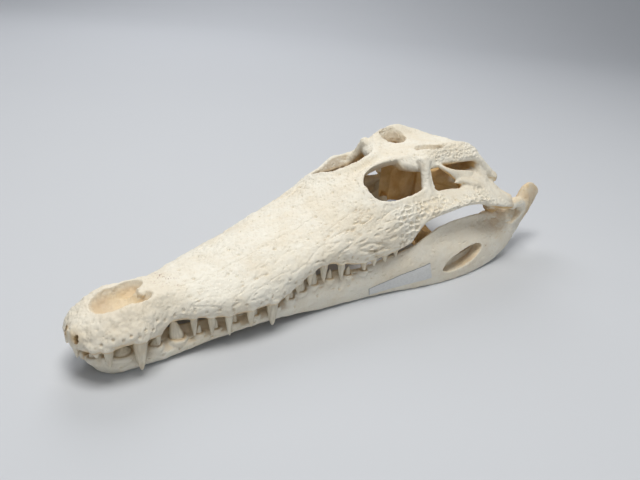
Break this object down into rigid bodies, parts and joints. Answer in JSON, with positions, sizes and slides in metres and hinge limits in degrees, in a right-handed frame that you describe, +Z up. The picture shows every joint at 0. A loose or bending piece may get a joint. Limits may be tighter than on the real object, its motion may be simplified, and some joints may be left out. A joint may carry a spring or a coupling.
{
  "type": "crocodile skull",
  "caption": "Bleached crocodile skull with its closed lower jaw and teeth, standing on the lower edges of the jaw as a still museum model.",
  "frame": {"origin": "on the floor, below the middle of the skull's length and width", "axes": "+X along the skull towards the back of the head, +Y towards the animal's right side, +Z up; the snout points to -X"},
  "size_m": [0.369, 0.1326, 0.0849],
  "materials": {
    "premaxilla": "dry bleached bone",
    "nasals": "dry bleached bone",
    "maxilla_left": "dry bleached bone",
    "maxilla_right": "dry bleached bone",
    "forehead": "dry bleached bone",
    "cheek_left": "dry bleached bone",
    "cheek_right": "dry bleached bone",
    "skull_table": "dry bleached bone",
    "braincase": "dry bleached bone",
    "palate": "dry bleached bone",
    "quadrate_left": "dry bleached bone",
    "quadrate_right": "dry bleached bone",
    "dentary_left": "dry bleached bone",
    "surangular_left": "dry bleached bone",
    "angular_left": "dry bleached bone",
    "articular_left": "dry bleached bone",
    "dentary_right": "dry bleached bone",
    "surangular_right": "dry bleached bone",
    "angular_right": "dry bleached bone",
    "articular_right": "dry bleached bone"
  },
  "bodies": {
    "root": {"premaxilla": "premaxilla", "nasals": "nasals", "maxilla_left": "maxilla_left", "maxilla_right": "maxilla_right", "forehead": "forehead", "cheek_left": "cheek_left", "cheek_right": "cheek_right", "skull_table": "skull_table", "braincase": "braincase", "palate": "palate", "quadrate_left": "quadrate_left", "quadrate_right": "quadrate_right", "dentary_left": "dentary_left", "surangular_left": "surangular_left", "angular_left": "angular_left", "articular_left": "articular_left", "dentary_right": "dentary_right", "surangular_right": "surangular_right", "angular_right": "angular_right", "articular_right": "articular_right"}
  },
  "joints": []
}
